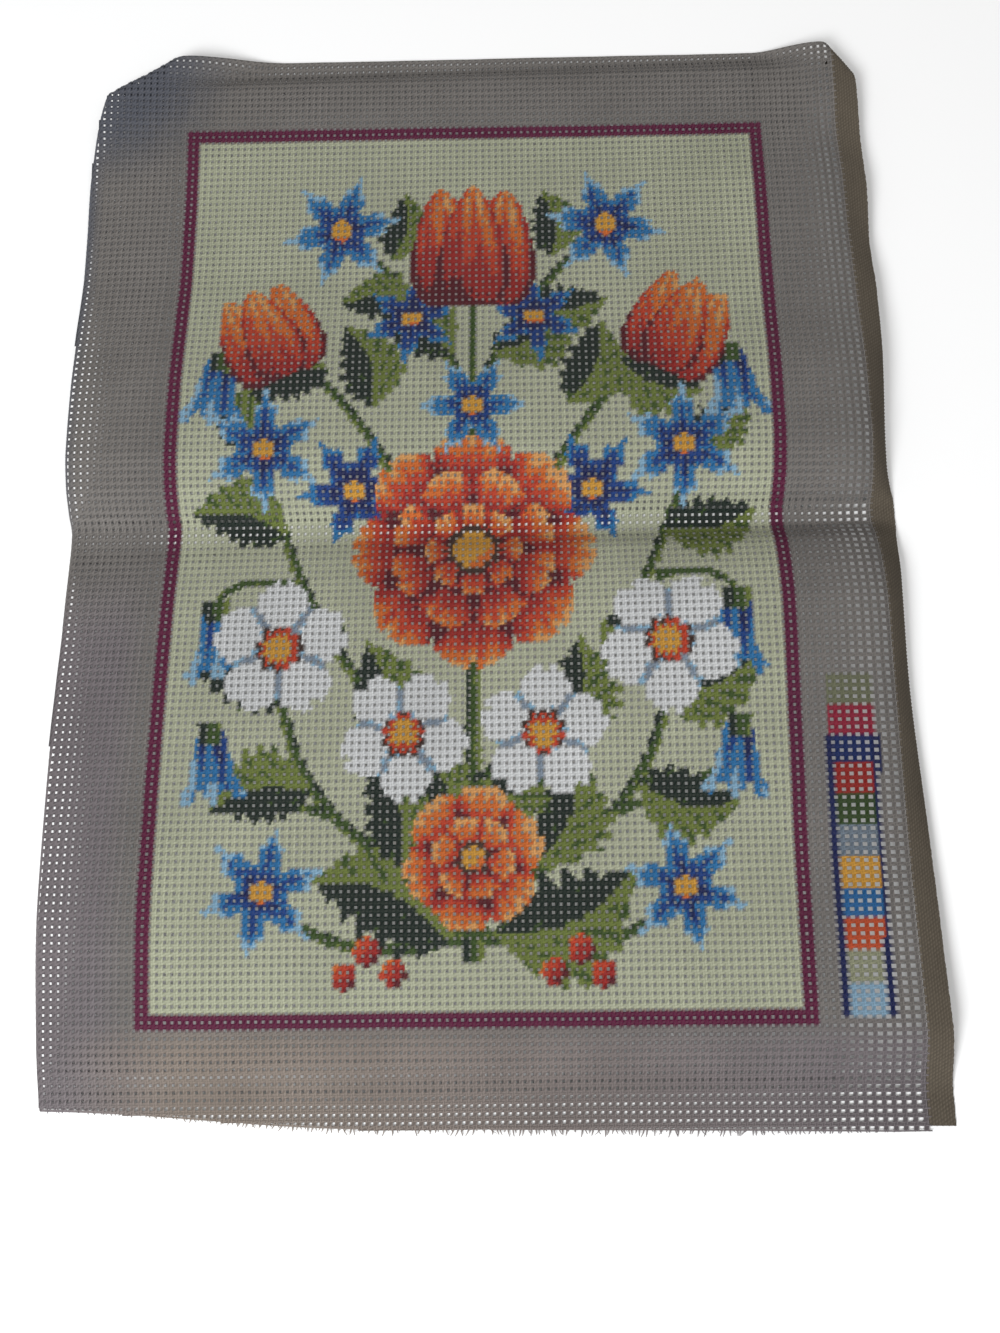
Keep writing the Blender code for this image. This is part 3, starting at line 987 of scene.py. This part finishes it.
def makeFrayedEnds():
    # the warp ends that stick out past the last weft along the bottom cut
    piece = gridMesh("frayed_ends", (warpCount, 2), 3)
    points = pointsOf(piece.data)
    thread = np.floor_divide(np.round(points[:, 0]).astype(int), 3)
    side = np.round(points[:, 0]).astype(int) - thread * 3 - 1
    ring = np.round(points[:, 1]).astype(int)
    rng = np.random.default_rng(31)
    reach = frayed["reach"] * rng.uniform(frayed["shortest"], 1.0, warpCount)
    lean = rng.normal(0, frayed["stray"], warpCount)
    start = warpAcross[:, 0]
    reach = reach * (0.35 + 0.65 * ease((start - left) / 0.14))
    out = ring / 3
    halfWidth = weave["warpWidth"] / 2 * (1 - frayed["thinning"] * out)
    across = start[thread] + lean[thread] * out**2 + side * halfWidth
    up = bottomEdgeAt(start)[thread] + frayed["tuck"] - (reach[thread] + frayed["tuck"]) * out
    lift = np.where(side == 0, 0.0002, 0.0) + 0.0002 * np.sin(thread * 1.7) * out
    colours = printed[thread, 2] * (1.05 + 0.15 * out)[:, None]
    keep = start[thread] > leftEdgeAt(np.full(len(thread), bottom)) + 0.001
    bakeMap = np.stack([(thread + 0.5 + side * 0.4) / warpCount, (ring + 0.5) / 4], axis=1)
    return finishMesh(piece, place(across, up, lift), colours, bakeMap, keep, cottonThread)


frayPiece = makeFrayedEnds()
print("frayed ends made")

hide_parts("canvas_panel")

# floor, light and camera

studio = {
    "floorSize": 3.0,
    "floorColour": (0.86, 0.86, 0.86, 1.0),
    "lights": [  # name, place, size, power and colour
        ("window", (-0.72, -0.95, 0.86), 0.6, 24.0, (0.98, 0.99, 1.0)),
        ("room", (0.6, 0.5, 1.6), 1.4, 6.0, (1.0, 0.985, 0.96)),
    ],
    "skyColour": (1.0, 1.0, 1.0, 1.0),
    "skyStrength": 0.50,
    "cameraFromFold": (0.0148, -0.1168, 0.3488),
    "cameraTurn": (10.53, 1.39, -0.39),
    "lens": 27.0,
}


def makeFloor():
    bm = bmesh.new()
    bmesh.ops.create_grid(bm, x_segments=1, y_segments=1, size=studio["floorSize"] / 2)
    mesh = bpy.data.meshes.new("floor")
    bm.to_mesh(mesh)
    bm.free()
    floor = bpy.data.objects.new("floor", mesh)
    bpy.context.scene.collection.objects.link(floor)
    material = bpy.data.materials.new("pale floor")
    material.use_nodes = True
    shader = material.node_tree.nodes["Principled BSDF"]
    shader.inputs["Base Color"].default_value = studio["floorColour"]
    shader.inputs["Roughness"].default_value = 0.9
    mesh.materials.append(material)


def softLight(name, at, size, power, colour):
    data = bpy.data.lights.new(name, "AREA")
    data.shape = "DISK"
    data.size = size
    data.energy = power
    data.color = colour
    light = bpy.data.objects.new(name, data)
    light.location = at
    light.rotation_euler = (Vector((0, 0, 0)) - Vector(at)).to_track_quat("-Z", "Y").to_euler()
    bpy.context.scene.collection.objects.link(light)


makeFloor()
for light in studio["lights"]:
    softLight(*light)

world = bpy.data.worlds.new("studio")
world.use_nodes = True
sky = world.node_tree.nodes["Background"]
sky.inputs["Color"].default_value = studio["skyColour"]
sky.inputs["Strength"].default_value = studio["skyStrength"]
bpy.context.scene.world = world
bpy.context.scene.view_settings.view_transform = "Standard"

cameraData = bpy.data.cameras.new("camera")
cameraData.sensor_fit = "VERTICAL"
cameraData.sensor_height = 36.0
cameraData.lens = studio["lens"]
cameraData.clip_start = 0.01
camera = bpy.data.objects.new("camera", cameraData)
camera.location = Vector(studio["cameraFromFold"]) + Vector(shift)
camera.rotation_euler = Euler([math.radians(turn) for turn in studio["cameraTurn"]], "XYZ")
bpy.context.scene.collection.objects.link(camera)
bpy.context.scene.camera = camera
